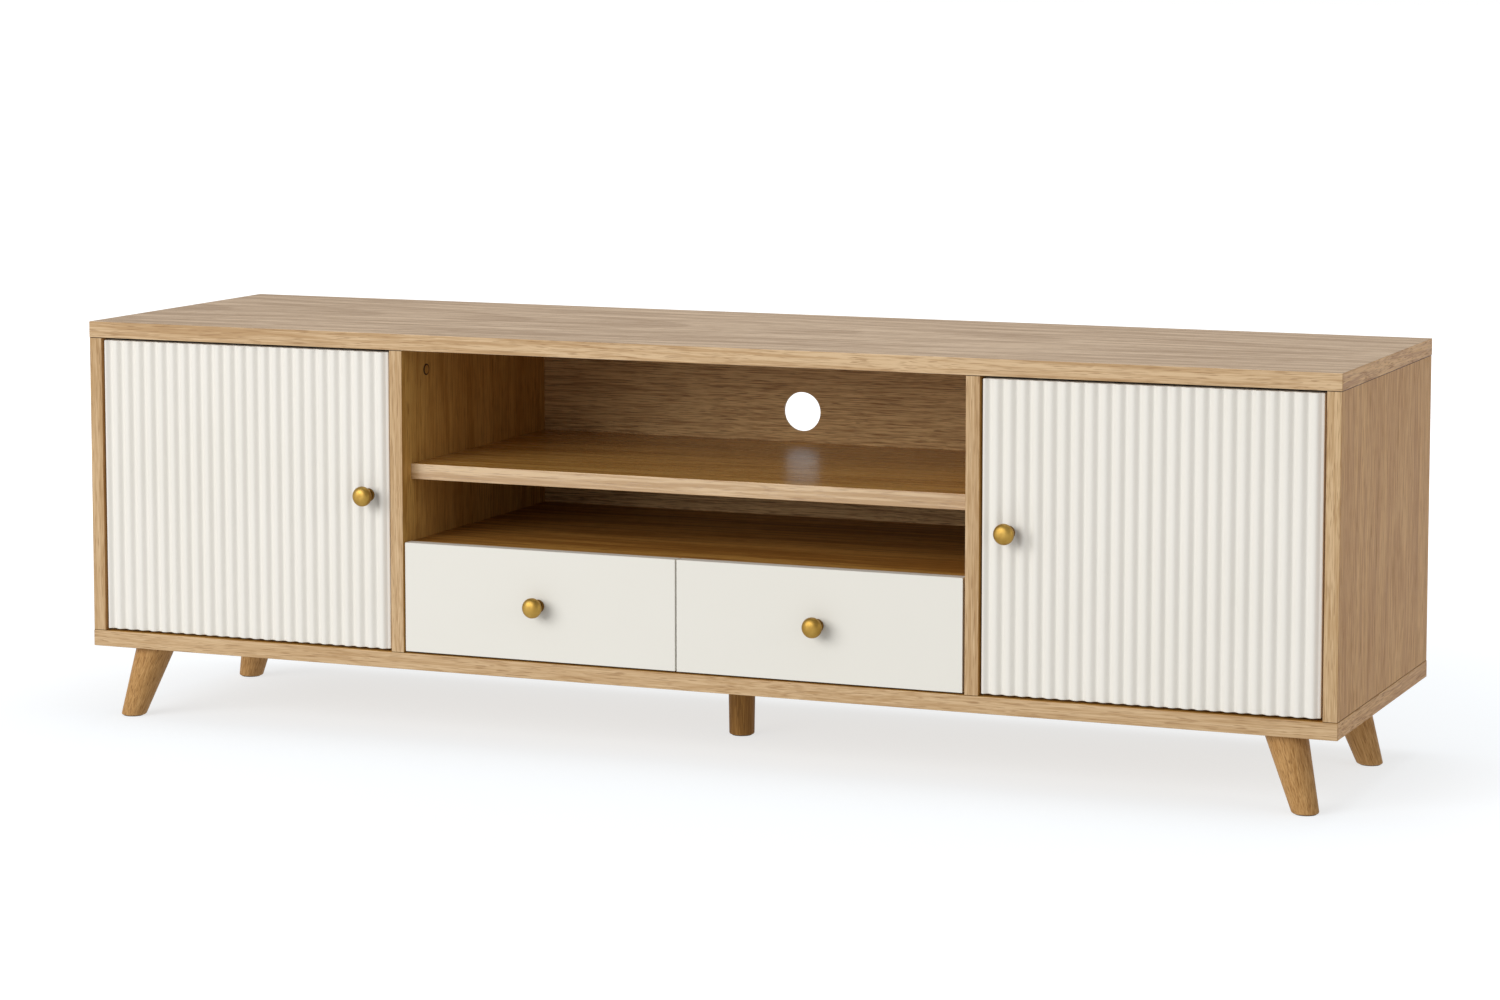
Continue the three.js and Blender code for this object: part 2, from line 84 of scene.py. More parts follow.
AMBIENT = 0.47
LIT_POINT = (0, 0, 0.3)
KEY_PLACE = (-4.1, -7.8, 3.4)
KEY_SIZE = (8.5, 5.6)
KEY_POWER = 570
TOP_PLACE = (0.2, 0.9, 4.2)
TOP_SIZE = (3.0, 3.0)
TOP_POWER = 47
FILL_PLACE = (6.0, -1.4, 2.0)
FILL_SIZE = (2.5, 2.5)
FILL_POWER = 30
# Painted light: the floor glows, less near the cabinet so that its shadow shows; there the glow's tint and the
# floor's tones are cooled to cancel the warm light bounced off the oak.
FLOOR_REACH = 60
FLOOR_GLOW = {"near": 0.685, "far": 1.0, "near_radius": 0.6, "far_radius": 2.4}
FLOOR_GLOW_TINT = (0.96, 0.984, 1, 1)
FLOOR_TONES = ((0.36, 0.375, 0.395, 1), (0.38, 0.395, 0.415, 1))


def make_camera():
    """The photo's viewpoint."""
    data = bpy.data.cameras.new("camera")
    data.lens = CAMERA_LENS
    data.shift_y = CAMERA_SHIFT_Y
    camera = bpy.data.objects.new("camera", data)
    camera.location = CAMERA_PLACE
    camera.rotation_euler = (math.pi / 2 - CAMERA_TILT, 0, CAMERA_YAW)
    bpy.context.scene.collection.objects.link(camera)
    bpy.context.scene.camera = camera


def area_light(name, place, size, power):
    """A soft oval lamp that faces the cabinet."""
    data = bpy.data.lights.new(name, "AREA")
    data.shape = "ELLIPSE"
    data.size, data.size_y = size
    data.energy = power
    light = bpy.data.objects.new(name, data)
    light.location = place
    light.rotation_euler = (Vector(LIT_POINT) - Vector(place)).to_track_quat("-Z", "Y").to_euler()
    bpy.context.scene.collection.objects.link(light)


def make_lights():
    """Three soft lamps, and a surround that is white to the camera and dimmer to the object."""
    world = bpy.data.worlds.new("studio")
    bpy.context.scene.world = world
    world.use_nodes = True
    tree = world.node_tree
    background = tree.nodes["Background"]
    background.inputs["Color"].default_value = (1, 1, 1, 1)
    seen = tree.nodes.new("ShaderNodeLightPath").outputs["Is Camera Ray"]
    strength = tree.nodes.new("ShaderNodeMapRange")
    tree.links.new(seen, strength.inputs["Value"])
    strength.inputs["To Min"].default_value = AMBIENT
    strength.inputs["To Max"].default_value = 1.0
    tree.links.new(strength.outputs[0], background.inputs["Strength"])
    area_light("key", KEY_PLACE, KEY_SIZE, KEY_POWER)
    area_light("top", TOP_PLACE, TOP_SIZE, TOP_POWER)
    area_light("fill", FILL_PLACE, FILL_SIZE, FILL_POWER)


# ---------------------------------------------------------------- shader building


def linear(channel):
    """One channel of a screen colour, 0 to 255, as linear light."""
    share = channel / 255
    return ((share + 0.055) / 1.055) ** 2.4 if share > 0.04045 else share / 12.92


def srgb(red, green, blue):
    return linear(red), linear(green), linear(blue), 1


class Shader:
    """One material, with short calls that make and join its nodes."""

    def __init__(self, name, **surface):
        self.material = bpy.data.materials.new(name)
        self.material.use_nodes = True
        self.tree = self.material.node_tree
        self.surface = self.tree.nodes["Principled BSDF"]
        for socket, value in surface.items():
            self.surface.inputs[socket.replace("_", " ")].default_value = value

    def feed(self, socket, value):
        if isinstance(value, bpy.types.NodeSocket):
            self.tree.links.new(value, socket)
        else:
            socket.default_value = value

    def node(self, kind, inputs, **settings):
        made = self.tree.nodes.new(kind)
        for key, value in settings.items():
            setattr(made, key, value)
        for key, value in inputs.items():
            self.feed(made.inputs[key], value)
        return made

    def place(self):
        """Where a point of the surface is, in the object's own frame."""
        return self.node("ShaderNodeTexCoord", {}).outputs["Object"]

    def mapped(self, vector, move=(0, 0, 0), turn=(0, 0, 0), scale=(1, 1, 1)):
        inputs = {"Vector": vector, "Location": move, "Rotation": turn, "Scale": scale}
        return self.node("ShaderNodeMapping", inputs).outputs[0]

    def noise(self, vector, scale=1.0, detail=2.0, roughness=0.5):
        inputs = {"Vector": vector, "Scale": scale, "Detail": detail, "Roughness": roughness}
        return self.node("ShaderNodeTexNoise", inputs).outputs[0]

    def math(self, operation, *values):
        return self.node("ShaderNodeMath", dict(enumerate(values)), operation=operation).outputs[0]

    def remap(self, value, low, high, to_low=0.0, to_high=1.0, smooth=False):
        inputs = {"Value": value, "From Min": low, "From Max": high, "To Min": to_low, "To Max": to_high}
        kind = "SMOOTHSTEP" if smooth else "LINEAR"
        return self.node("ShaderNodeMapRange", inputs, interpolation_type=kind).outputs[0]

    def parts(self, vector):
        return self.node("ShaderNodeSeparateXYZ", {0: vector}).outputs

    def joined(self, x, y, z):
        return self.node("ShaderNodeCombineXYZ", {0: x, 1: y, 2: z}).outputs[0]

    def mix(self, factor, first, second):
        inputs = {0: factor, 6: first, 7: second}
        return self.node("ShaderNodeMix", inputs, data_type="RGBA").outputs[2]

    def set(self, socket, value):
        self.feed(self.surface.inputs[socket], value)

    def bump(self, height, distance, strength):
        inputs = {"Height": height, "Distance": distance, "Strength": strength}
        return self.node("ShaderNodeBump", inputs).outputs[0]


# ---------------------------------------------------------------- wood

GRAIN_TURN = {"x": (0, 0, 0), "y": (0, 0, -math.pi / 2), "z": (0, math.pi / 2, 0)}


def oak(light, dark, pore):
    """The tones of one wood: between its fibres, in them, and in its pores."""
    return {"light": srgb(*light), "dark": srgb(*dark), "pore": srgb(*pore)}


EDGE_OAK = oak((213, 182, 141), (183, 147, 103), (148, 110, 70))
# Painted reflection: the top's tones are paler and greyer, for the sheen of the white surround on it.
SHEEN_TOP_OAK = oak((213, 187, 157), (172, 144, 114), (146, 118, 90))
# Painted shade: the side panels' tones, also used on the boards' end strips, are darker and richer to paint the
# shade on those faces.
SHADED_SIDE_OAK = oak((211, 164, 104), (175, 125, 70), (138, 94, 50))
# Painted shade: the inner boards' tones are deeper and richer, for the shade inside the cupboards and bays.
SHADED_INNER_OAK = oak((210, 164, 90), (174, 124, 54), (136, 90, 34))
# Painted shade: the drawer deck's tones are darker still, for the shade deep in the drawer bay.
SHADED_DECK_OAK = oak((192, 144, 72), (150, 101, 40), (112, 70, 24))
BACK_OAK = oak((220, 182, 126), (168, 127, 78), (120, 84, 48))
LEG_OAK = oak((198, 154, 99), (163, 119, 68), (120, 82, 45))
# Painted shade: the middle leg's tones are darker, for the shade under the cabinet.
SHADED_MIDDLE_LEG_OAK = oak((158, 116, 60), (124, 86, 38), (92, 60, 26))
DRAWER_WOOD = oak((222, 200, 165), (205, 178, 139), (178, 148, 108))

GLUE_LINE = 0.9 * MM
SEAM_SHADE = srgb(60, 40, 24)

# How strongly each kind of grain shows in a board.
FIGURE = {"rings": 0.2, "bands": 0.45, "flames": 0.3, "streaks": 0.4, "fibres": 0.8}
TOP_FIGURE = {"rings": 0.45, "bands": 0.45, "flames": 0.9, "streaks": 0.9, "fibres": 0.9}
SHELF_FIGURE = {"rings": 0.5, "bands": 0.6, "flames": 1.3, "streaks": 1.4, "fibres": 0.9}
BACK_FIGURE = {"rings": 0.05, "bands": 0.2, "flames": 0.12, "streaks": 0.6, "fibres": 1.25}
LEG_FIGURE = {"rings": 0.1, "bands": 0.2, "flames": 0.1, "streaks": 0.35, "fibres": 0.9}

# How finely each kind is spaced along and across the grain, per metre, and how rough it is.
GRAIN_SPACING = {"bands": (0.8, 20), "flames": (3.4, 70), "streaks": (5, 270), "fibres": (20, 740)}
GRAIN_ROUGHNESS = {"bands": 0.5, "flames": 0.5, "streaks": 0.6, "fibres": 0.6}
PORE_SPACING = (34, 980)
PORE_SHARE = 0.6
MEAN_DARKNESS = 0.375

# The log that the veneer is sliced from: the sheets repeat across it, and its heart lies below them.
SHEET_WIDTH = 0.42
HEART_BELOW = 0.13
HEART_SWAY = 0.04
RINGS_PER_METRE = 120.0

# Long and short waves that bend the grain: their spacing along and across it, and their reach in metres.
WANDER = {"spacing": (1.1, 5), "reach": 0.07, "detail": 1.5}
DRIFT = {"spacing": (5, 34), "reach": 0.007, "detail": 2}


def along_grain(s, grained, spacing, detail, roughness=0.5):
    """Noise drawn out along the grain."""
    along, across = spacing
    return s.noise(s.mapped(grained, scale=(along, across, across)), detail=detail, roughness=roughness)


def growth_rings(s, along, across, through):
    """The dark late wood of each ring, as the flat slice cuts it: arches in the middle, lines beside."""
    half = SHEET_WIDTH / 2
    swing = s.math("SUBTRACT", s.math("FLOORED_MODULO", across, SHEET_WIDTH), half)
    sway = s.math("MULTIPLY_ADD", s.math("SINE", along), HEART_SWAY, through)
    below = s.math("ADD", sway, HEART_BELOW)
    squares = s.math("ADD", s.math("MULTIPLY", swing, swing), s.math("MULTIPLY", below, below))
    ring = s.math("FRACT", s.math("MULTIPLY", s.math("SQRT", squares), RINGS_PER_METRE))
    return s.math("MULTIPLY", s.remap(ring, 0.3, 0.9, smooth=True), s.remap(ring, 1.0, 0.92, smooth=True))


def oak_figure(s, grained, figure):
    """Three patterns: how dark the wood is, its fibres and its open pores."""
    wander = s.math("SUBTRACT", along_grain(s, grained, WANDER["spacing"], WANDER["detail"]), 0.5)
    drift = s.math("SUBTRACT", along_grain(s, grained, DRIFT["spacing"], DRIFT["detail"]), 0.5)
    along, straight, through = s.parts(grained)
    across = s.math("MULTIPLY_ADD", wander, WANDER["reach"], straight)
    across = s.math("MULTIPLY_ADD", drift, DRIFT["reach"], across)
    wavy = s.joined(along, across, through)
    layers = {}
    body = s.math("MULTIPLY_ADD", growth_rings(s, along, across, through), figure["rings"], MEAN_DARKNESS)
    for kind, spacing in GRAIN_SPACING.items():
        layers[kind] = along_grain(s, wavy, spacing, 2, GRAIN_ROUGHNESS[kind])
        half = figure[kind] / 2
        body = s.math("ADD", body, s.remap(layers[kind], 0.34, 0.66, -half, half))
    pores = s.remap(along_grain(s, wavy, PORE_SPACING, 1), 0.57, 0.68, smooth=True)
    return body, layers["fibres"], pores


def leaned(s, spot, lean):
    """The place, pushed back upright from a lean of so much sideways for each unit of height."""
    x, y, z = s.parts(spot)
    return s.joined(s.math("MULTIPLY_ADD", z, -lean[0], x), s.math("MULTIPLY_ADD", z, -lean[1], y), z)


def wood(name, grain, faces, seed, edges=None, ends=None, seams=None, figure=FIGURE, lean=None,
         gloss=0.42, shine=0.2):
    """Veneer with growth rings, fibres and open pores that run along one axis of the object.

    faces, edges and ends are the tones of the veneer, of the strip glued on the front edge and of
    the strips on the left and right ends. seams are the lowest and highest z, where the board's
    ends meet its neighbours. figure is how strongly each kind of grain shows. lean is how far the
    grain runs sideways for each unit of height.
    """
    s = Shader(name, Specular_IOR_Level=shine)
    shift = (0.37 * seed, 0.61 * seed % 1.7, 0)
    spot = leaned(s, s.place(), lean) if lean else s.place()
    grained = s.mapped(spot, move=shift, turn=GRAIN_TURN[grain])
    facing = s.parts(s.node("ShaderNodeTexCoord", {}).outputs["Normal"])
    if ends:
        end = s.remap(s.math("ABSOLUTE", facing[0]), 0.6, 0.8)
        crossed = s.mapped(s.place(), move=shift, turn=GRAIN_TURN["y"])
        grained = s.node("ShaderNodeMix", {0: end, 4: grained, 5: crossed}, data_type="VECTOR").outputs[1]
    body, fibres, pores = oak_figure(s, grained, figure)
    pore_share = s.math("MULTIPLY", pores, PORE_SHARE)

    def veneer(tones):
        return s.mix(pore_share, s.mix(body, tones["light"], tones["dark"]), tones["pore"])

    colour = veneer(faces)
    if ends:
        colour = s.mix(end, colour, veneer(ends))
    if edges:
        colour = s.mix(s.remap(facing[1], -0.6, -0.8), colour, veneer(edges))
        corner = s.math("ABSOLUTE", s.math("MULTIPLY", facing[0], facing[1]))
        colour = s.mix(s.remap(corner, 0.15, 0.4, 0.0, 0.5), colour, edges["pore"])
    if seams:
        height = s.parts(s.place())[2]
        gap = s.math("MINIMUM", s.math("SUBTRACT", height, seams[0]), s.math("SUBTRACT", seams[1], height))
        colour = s.mix(s.remap(gap, GLUE_LINE, GLUE_LINE / 2), colour, SEAM_SHADE)
    s.set("Base Color", colour)
    s.set("Roughness", s.remap(s.math("ADD", fibres, pores), 0.2, 1.4, gloss, gloss + 0.2))
    s.set("Normal", s.bump(s.math("SUBTRACT", s.math("MULTIPLY", fibres, 0.5), pores), 0.1 * MM, 0.5))
    return s.material


# ---------------------------------------------------------------- paint, metal, plastic, felt

# The scales of noise here are repeats per metre.


def paint(name, colour, shadow, seed):
    """Sprayed lacquer: a faint orange peel, a breath of colour change and fine dust nibs."""
    s = Shader(name, Specular_IOR_Level=0.4)
    spot = s.mapped(s.place(), move=(0.3 * seed, 0, 0.2 * seed))
    peel = s.noise(spot, scale=420, detail=2)
    clouds = s.noise(spot, scale=5, detail=3)
    fine = s.noise(spot, scale=1900, detail=1)
    s.set("Base Color", s.mix(s.remap(clouds, 0.3, 0.7, 0.0, 0.5), colour, shadow))
    s.set("Roughness", s.remap(s.math("ADD", clouds, fine), 0.6, 1.4, 0.42, 0.54))
    s.set("Normal", s.bump(s.math("MULTIPLY_ADD", fine, 0.2, peel), 0.03 * MM, 0.5))
    return s.material


COLLAR_SHADE_FROM = 0.36
COLLAR_SHADE_TO = 0.5


def brass(name, knob):
    """Satin brass, brushed round its axis and darkened behind the head to paint the shade there."""
    s = Shader(name, Metallic=1.0)
    spot = s.place()
    front, length = knob[0].y, knob[1].y - knob[0].y
    depth = s.parts(spot)[1]
    behind = s.remap(depth, front + COLLAR_SHADE_FROM * length, front + COLLAR_SHADE_TO * length, smooth=True)
    tone = s.noise(spot, scale=70, detail=3)
    brush = s.noise(s.mapped(spot, scale=(90, 5200, 90)), detail=2)
    bright = s.mix(s.remap(tone, 0.3, 0.7), srgb(182, 148, 76), srgb(152, 118, 53))
    # Painted shade: behind the head the brass turns to this dark tone.
    s.set("Base Color", s.mix(behind, bright, srgb(118, 84, 34)))
    s.set("Roughness", s.remap(s.math("ADD", tone, brush), 0.6, 1.4, 0.39, 0.5))
    s.set("Normal", s.bump(brush, 0.02 * MM, 0.4))
    return s.material


def steel(name, light, dark, rough, spangle=0.0):
    """Plated sheet steel with a faint rolled grain, and crystal patches where it is zinc."""
    s = Shader(name, Metallic=1.0)
    spot = s.place()
    rolled = s.noise(s.mapped(spot, scale=(900, 22, 900)), detail=2)
    patches = s.node("ShaderNodeTexVoronoi", {"Vector": spot, "Scale": 260.0}).outputs["Color"]
    patch = s.node("ShaderNodeSeparateColor", {0: patches}).outputs[0]
    tone = s.math("MULTIPLY_ADD", patch, spangle, s.remap(rolled, 0.3, 0.7, 0.0, 1 - spangle))
    s.set("Base Color", s.mix(tone, light, dark))
    s.set("Roughness", s.remap(rolled, 0.3, 0.7, rough - 0.05, rough + 0.08))
    s.set("Normal", s.bump(rolled, 0.02 * MM, 0.4))
    return s.material


def plastic(name, light, dark, grain=900, rough=0.5):
    """Moulded plastic or pressed felt: an even tone broken by a fine texture."""
    s = Shader(name)
    spot = s.place()
    texture = s.noise(spot, scale=grain, detail=3)
    s.set("Base Color", s.mix(s.remap(texture, 0.3, 0.7), light, dark))
    s.set("Roughness", s.remap(texture, 0.3, 0.7, rough, rough + 0.12))
    s.set("Normal", s.bump(texture, 0.05 * MM, 0.5))
    return s.material


COVER_RIM = 5.6 * MM
RIM_BLUR = 0.4 * MM


def foil_cover(name, disc):
    """A foil cover with a wood print; a dark line shows round its rim."""
    s = Shader(name, Roughness=0.5, Specular_IOR_Level=0.2)
    centre = tuple((disc[0] + disc[1]) / 2)
    spoke = s.node("ShaderNodeVectorMath", {0: s.place(), 1: centre}, operation="DISTANCE").outputs["Value"]
    print_grain = s.noise(s.mapped(s.place(), scale=(900, 900, 40)), detail=2)
    face = s.mix(s.remap(print_grain, 0.3, 0.7), srgb(196, 148, 78), srgb(158, 110, 48))
    rim = s.remap(spoke, COVER_RIM - RIM_BLUR, COVER_RIM)
    s.set("Base Color", s.mix(rim, face, srgb(52, 32, 14)))
    return s.material


# ---------------------------------------------------------------- CAD nodes as they are


WELD_REACH = 0.01 * MM
FLAT_WITHIN = math.radians(0.5)
EASE_OVER = math.radians(40)


def dress(node, material, edge):
    """Gives a CAD node its material, joins its triangles and eases its edges."""
    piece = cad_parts[node]
    mesh = piece.data
    mesh.materials.clear()
    mesh.materials.append(material)
    for name in ("custom_normal", "sharp_edge", "sharp_face"):
        if name in mesh.attributes:
            mesh.attributes.remove(mesh.attributes[name])
    mesh.polygons.foreach_set("use_smooth", [True] * len(mesh.polygons))
    weld = piece.modifiers.new("weld", "WELD")
    weld.merge_threshold = WELD_REACH
    flat = piece.modifiers.new("flat", "DECIMATE")
    flat.decimate_type = "DISSOLVE"
    flat.angle_limit = FLAT_WITHIN
    ease = piece.modifiers.new("ease", "BEVEL")
    ease.width = edge
    ease.segments = EDGE_STEPS
    ease.limit_method = "ANGLE"
    ease.angle_limit = EASE_OVER
    ease.harden_normals = True


def dress_boards():
    """Oak on the carcass. Each board has its own piece of figure, by its place in the list."""
    boards = {
        "top_panel": ("x", SHEEN_TOP_OAK, {"figure": TOP_FIGURE, "ends": SHADED_SIDE_OAK, "shine": 0.3}),
        "bottom_panel": ("x", SHADED_INNER_OAK, {"ends": SHADED_SIDE_OAK}),
        "middle_shelf": ("x", SHADED_INNER_OAK, {"figure": SHELF_FIGURE, "gloss": 0.2, "shine": 0.7}),
        "drawer_deck": ("x", SHADED_DECK_OAK, {"figure": SHELF_FIGURE}),
        "drawer_partition": ("z", SHADED_INNER_OAK, {}),
    }
    for side in SIDES:
        boards[f"{side}_bay_shelf"] = ("x", SHADED_INNER_OAK, {})
        boards[f"{side}_side_panel"] = ("z", SHADED_SIDE_OAK, {"shine": 0.12})
        boards[f"{side}_divider"] = ("z", SHADED_INNER_OAK, {})
    for seed, (node, (grain, faces, finish)) in enumerate(boards.items(), 1):
        low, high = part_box(node)
        seams = (low.z, high.z) if grain == "z" else None
        material = wood(f"oak_{node}", grain, faces, seed, edges=EDGE_OAK, seams=seams, **finish)
        dress(node, material, BOARD_EDGE)
    for seed, side in enumerate(("left", "centre", "right"), 20):
        node = f"{side}_back_panel"
        dress(node, wood(f"oak_{node}", "x", BACK_OAK, seed, figure=BACK_FIGURE), METAL_EDGE)


def dress_drawers(drawer_paint, runner_steel):
    """Painted fronts, plain wood boxes and zinc runners."""
    for index, side in enumerate(SIDES):
        dress(f"{side}_drawer_front", drawer_paint, PAINTED_EDGE)
        for step, part in enumerate(("inner_wall", "outer_wall", "back", "bottom")):
            grain = "x" if part == "back" else "y"
            material = wood(f"drawer_wood_{side}_{part}", grain, DRAWER_WOOD, 30 + 4 * index + step)
            dress(f"{side}_drawer_{part}", material, BOARD_EDGE)
        for end in ("inner", "outer"):
            dress(f"{side}_drawer_{end}_cabinet_runner", runner_steel, METAL_EDGE)
            dress(f"{side}_drawer_{end}_runner", runner_steel, METAL_EDGE)


def dress_hinges(hinge_steel):
    """Nickel on the hinges and on the screws that hold the knobs."""
    for side in SIDES:
        for level in LEVELS:
            for part in ("cup", "arm", "plate"):
                dress(f"{level}_{side}_hinge_{part}", hinge_steel, METAL_EDGE)
        dress(f"{side}_door_knob_screw", hinge_steel, METAL_EDGE)
        dress(f"{side}_drawer_knob_screw", hinge_steel, METAL_EDGE)


# ---------------------------------------------------------------- mesh building


def shade_evenly(piece, smooth_limit=35.0):
    """Smooth where the surface curves, sharp at its corners, and flat across large faces."""
    piece.data.set_sharp_from_angle(angle=math.radians(smooth_limit))
    even = piece.modifiers.new("even", "WEIGHTED_NORMAL")
    even.weight = 100
    even.keep_sharp = True


def new_piece(name, bm, material, body, smooth_limit=35.0):
    """Makes an object of a bmesh, smooth where it curves, and lets it ride on a body."""
    bmesh.ops.recalc_face_normals(bm, faces=bm.faces)
    mesh = bpy.data.meshes.new(name)
    bm.to_mesh(mesh)
    bm.free()
    mesh.materials.append(material)
    mesh.shade_smooth()
    piece = bpy.data.objects.new(name, mesh)
    bpy.context.scene.collection.objects.link(piece)
    shade_evenly(piece, smooth_limit)
    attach(piece, body)
    return piece


def turned(profile, segments, bm=None, place=(0, 0, 0), facing=(0, 0, 1)):
    """Adds a solid of revolution: profile is (radius, height) from the axis back to the axis."""
    bm = bm or bmesh.new()
    turn = Vector((0, 0, 1)).rotation_difference(Vector(facing)).to_matrix()
    rings = []
    for radius, height in profile:
        angles = (2 * math.pi * k / segments for k in range(segments if radius else 1))
        rings.append([
            bm.verts.new(Vector(place) + turn @ Vector((radius * math.cos(a), radius * math.sin(a), height)))
            for a in angles
        ])
    for low, high in zip(rings, rings[1:]):
        for k in range(segments):
            below = [low[k % len(low)], low[(k + 1) % len(low)]]
            above = [high[(k + 1) % len(high)], high[k % len(high)]]
            bm.faces.new(dict.fromkeys(below + above))
    return bm


def curve(a, b, c, d, t):
    """Catmull-Rom curve from b at t = 0 to c at t = 1."""
    slope = c - a
    bend = 2 * a - 5 * b + 4 * c - d
    twist = 3 * b - a - 3 * c + d
    return 0.5 * (2 * b + slope * t + bend * t * t + twist * t ** 3)


def rounded(profile, steps=6):
    """A smooth line through the profile's points. A point given twice stays a corner."""
    line = []
    for k in range(len(profile) - 1):
        around = [profile[max(k - 1, 0)], profile[k], profile[k + 1], profile[min(k + 2, len(profile) - 1)]]
        if around[1] == around[2]:
            continue
        for step in range(steps):
            line.append(tuple(curve(*axis, step / steps) for axis in zip(*around)))
    line.append(profile[-1])
    return line


# ---------------------------------------------------------------- doors


def face_drop(x):
    """How far the fluted face lies behind the crests, at x from the door's left edge."""
    return FLUTE_DEPTH * abs(math.cos(math.pi * (x - FIRST_GROOVE) / FLUTE_PITCH)) ** RIB_FULLNESS


def door_outline(width, thickness):
    """Plan of a door, from its left edge along the face and back, with y from the front crests."""
    steps = round((width - 2 * DOOR_CORNER) / FLUTE_STEP)
    points = []
    for k in range(EDGE_STEPS + 1):
        angle = math.pi / 2 * k / (EDGE_STEPS + 1)
        drop = DOOR_CORNER * (1 - math.sin(angle))
        points.append((DOOR_CORNER * (1 - math.cos(angle)), max(drop, face_drop(0) / 2)))
    for k in range(steps + 1):
        x = DOOR_CORNER + (width - 2 * DOOR_CORNER) * k / steps
        points.append((x, face_drop(x)))
    points.append((width - DOOR_FRONT_EDGE, FLUTE_DEPTH))
    points.append((width, FLUTE_DEPTH + DOOR_FRONT_EDGE))
    points.append((width, thickness - DOOR_REAR_EDGE))
    points.append((width - DOOR_REAR_EDGE, thickness))
    points.append((DOOR_REAR_EDGE, thickness))
    points.append((0, thickness - DOOR_REAR_EDGE))
    return points


def bored(piece, cutters):
    """Cuts the cutters out of a piece and keeps the result as its mesh."""
    for cutter in cutters:
        cut = piece.modifiers.new("bore", "BOOLEAN")
        cut.object = cutter
        cut.operation = "DIFFERENCE"
        cut.solver = "EXACT"
    shaped = piece.evaluated_get(bpy.context.evaluated_depsgraph_get())
    mesh = bpy.data.meshes.new_from_object(shaped)
    piece.modifiers.clear()
    piece.data = mesh
    shade_evenly(piece)
    for cutter in cutters:
        bpy.data.objects.remove(cutter)


def cutter_along_y(radius, start, end, x, z):
    """A plain cylinder from one depth to another, to cut a bore with."""
    bm = turned([(0, start), (radius, start), (radius, end), (0, end)], KNOB_SEGMENTS,
                place=(x, 0, z), facing=(0, 1, 0))
    bmesh.ops.recalc_face_normals(bm, faces=bm.faces)
    mesh = bpy.data.meshes.new("cutter")
    bm.to_mesh(mesh)
    bm.free()
    cutter = bpy.data.objects.new("cutter", mesh)
    bpy.context.scene.collection.objects.link(cutter)
    return cutter


def door_levels(bottom, top):
    """Heights of the door's outlines, each with how far it is drawn in to ease the door's ends."""
    rise = ((0, PAINTED_EDGE), (PAINTED_EDGE / 2, PAINTED_EDGE / 4), (PAINTED_EDGE, 0))
    return [(bottom + up, inset) for up, inset in rise] + [(top - up, inset) for up, inset in reversed(rise)]


def make_door(side, material):
    """A door with ribs down its face, and bores for the hinge cups and the knob's screw."""
    low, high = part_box(f"{side}_door_panel")
    width, thickness = high.x - low.x, high.y - low.y
    outline = door_outline(width, thickness)
    bm = bmesh.new()
    levels = []
    for z, inset in door_levels(low.z, high.z):
        ring = []
        for x, y in outline:
            sideways = inset * ((x < PAINTED_EDGE) - (x > width - PAINTED_EDGE))
            backward = min(y + inset, thickness - inset)
            ring.append(bm.verts.new((low.x + x + sideways, low.y + backward, z)))
        levels.append(ring)
    count = len(outline)
    for below, above in zip(levels, levels[1:]):
        for k in range(count):
            bm.faces.new((below[k], below[(k + 1) % count], above[(k + 1) % count], above[k]))
    bm.faces.new(levels[0])
    bm.faces.new(levels[-1])
    door = new_piece(f"{side}_fluted_door", bm, material, f"{side}_door")
    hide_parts(f"{side}_door_panel")
    cutters = []
    for level in LEVELS:
        cup_low, cup_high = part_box(f"{level}_{side}_hinge_cup")
        x, z = (cup_low.x + cup_high.x) / 2, (cup_low.z + cup_high.z) / 2
        cutters.append(cutter_along_y(CUP_BORE_RADIUS, high.y - CUP_BORE_DEPTH, high.y + MM, x, z))
    screw_low, screw_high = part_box(f"{side}_door_knob_screw")
    x, z = (screw_low.x + screw_high.x) / 2, (screw_low.z + screw_high.z) / 2
    cutters.append(cutter_along_y(KNOB_BORE_RADIUS, low.y - MM, high.y + MM, x, z))
    bored(door, cutters)


# ---------------------------------------------------------------- knobs

# From the bottom of the screw's hole, out to the collar and the neck, to the middle of the head, in mm.
KNOB_PROFILE = [
    (0, 10.0), (2.3, 10.0), (2.3, 10.0), (2.3, 0), (2.3, 0), (7.7, 0), (7.7, 0), (8.1, 0.5), (8.1, 2.4),
    (7.4, 3.2), (5.6, 3.8), (4.9, 6.0), (4.9, 11.6), (6.0, 13.6), (9.8, 14.4), (11.9, 15.6), (12.28, 17.6),
    (11.9, 20.0), (10.5, 22.1), (8.2, 23.6), (5.6, 24.5), (2.8, 24.93), (0, 25.0),
]


def make_knob(owner, material):
    """A turned knob with a hole at the back for its screw."""
    low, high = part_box(f"{owner}_knob")
    profile = [(radius * MM, height * MM) for radius, height in rounded(KNOB_PROFILE)]
    place = ((low.x + high.x) / 2, high.y, (low.z + high.z) / 2)
    bm = turned(profile, KNOB_SEGMENTS, place=place, facing=(0, -1, 0))
    knob = new_piece(f"{owner}_brass_knob", bm, material, owner, 40)
    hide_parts(f"{owner}_knob")


# ---------------------------------------------------------------- legs


def floor_radius(points, foot_centre, lean):
    """The CAD leg's radius at the top of its rounded foot."""
    lowest = min(p.z for p in points if p.z > 2 * MM)
    ring = [p for p in points if abs(p.z - lowest) < 0.1 * MM]
    centre = foot_centre + lean * lowest
    return max((Vector((p.x, p.y, 0)) - Vector((centre.x, centre.y, 0))).length for p in ring)


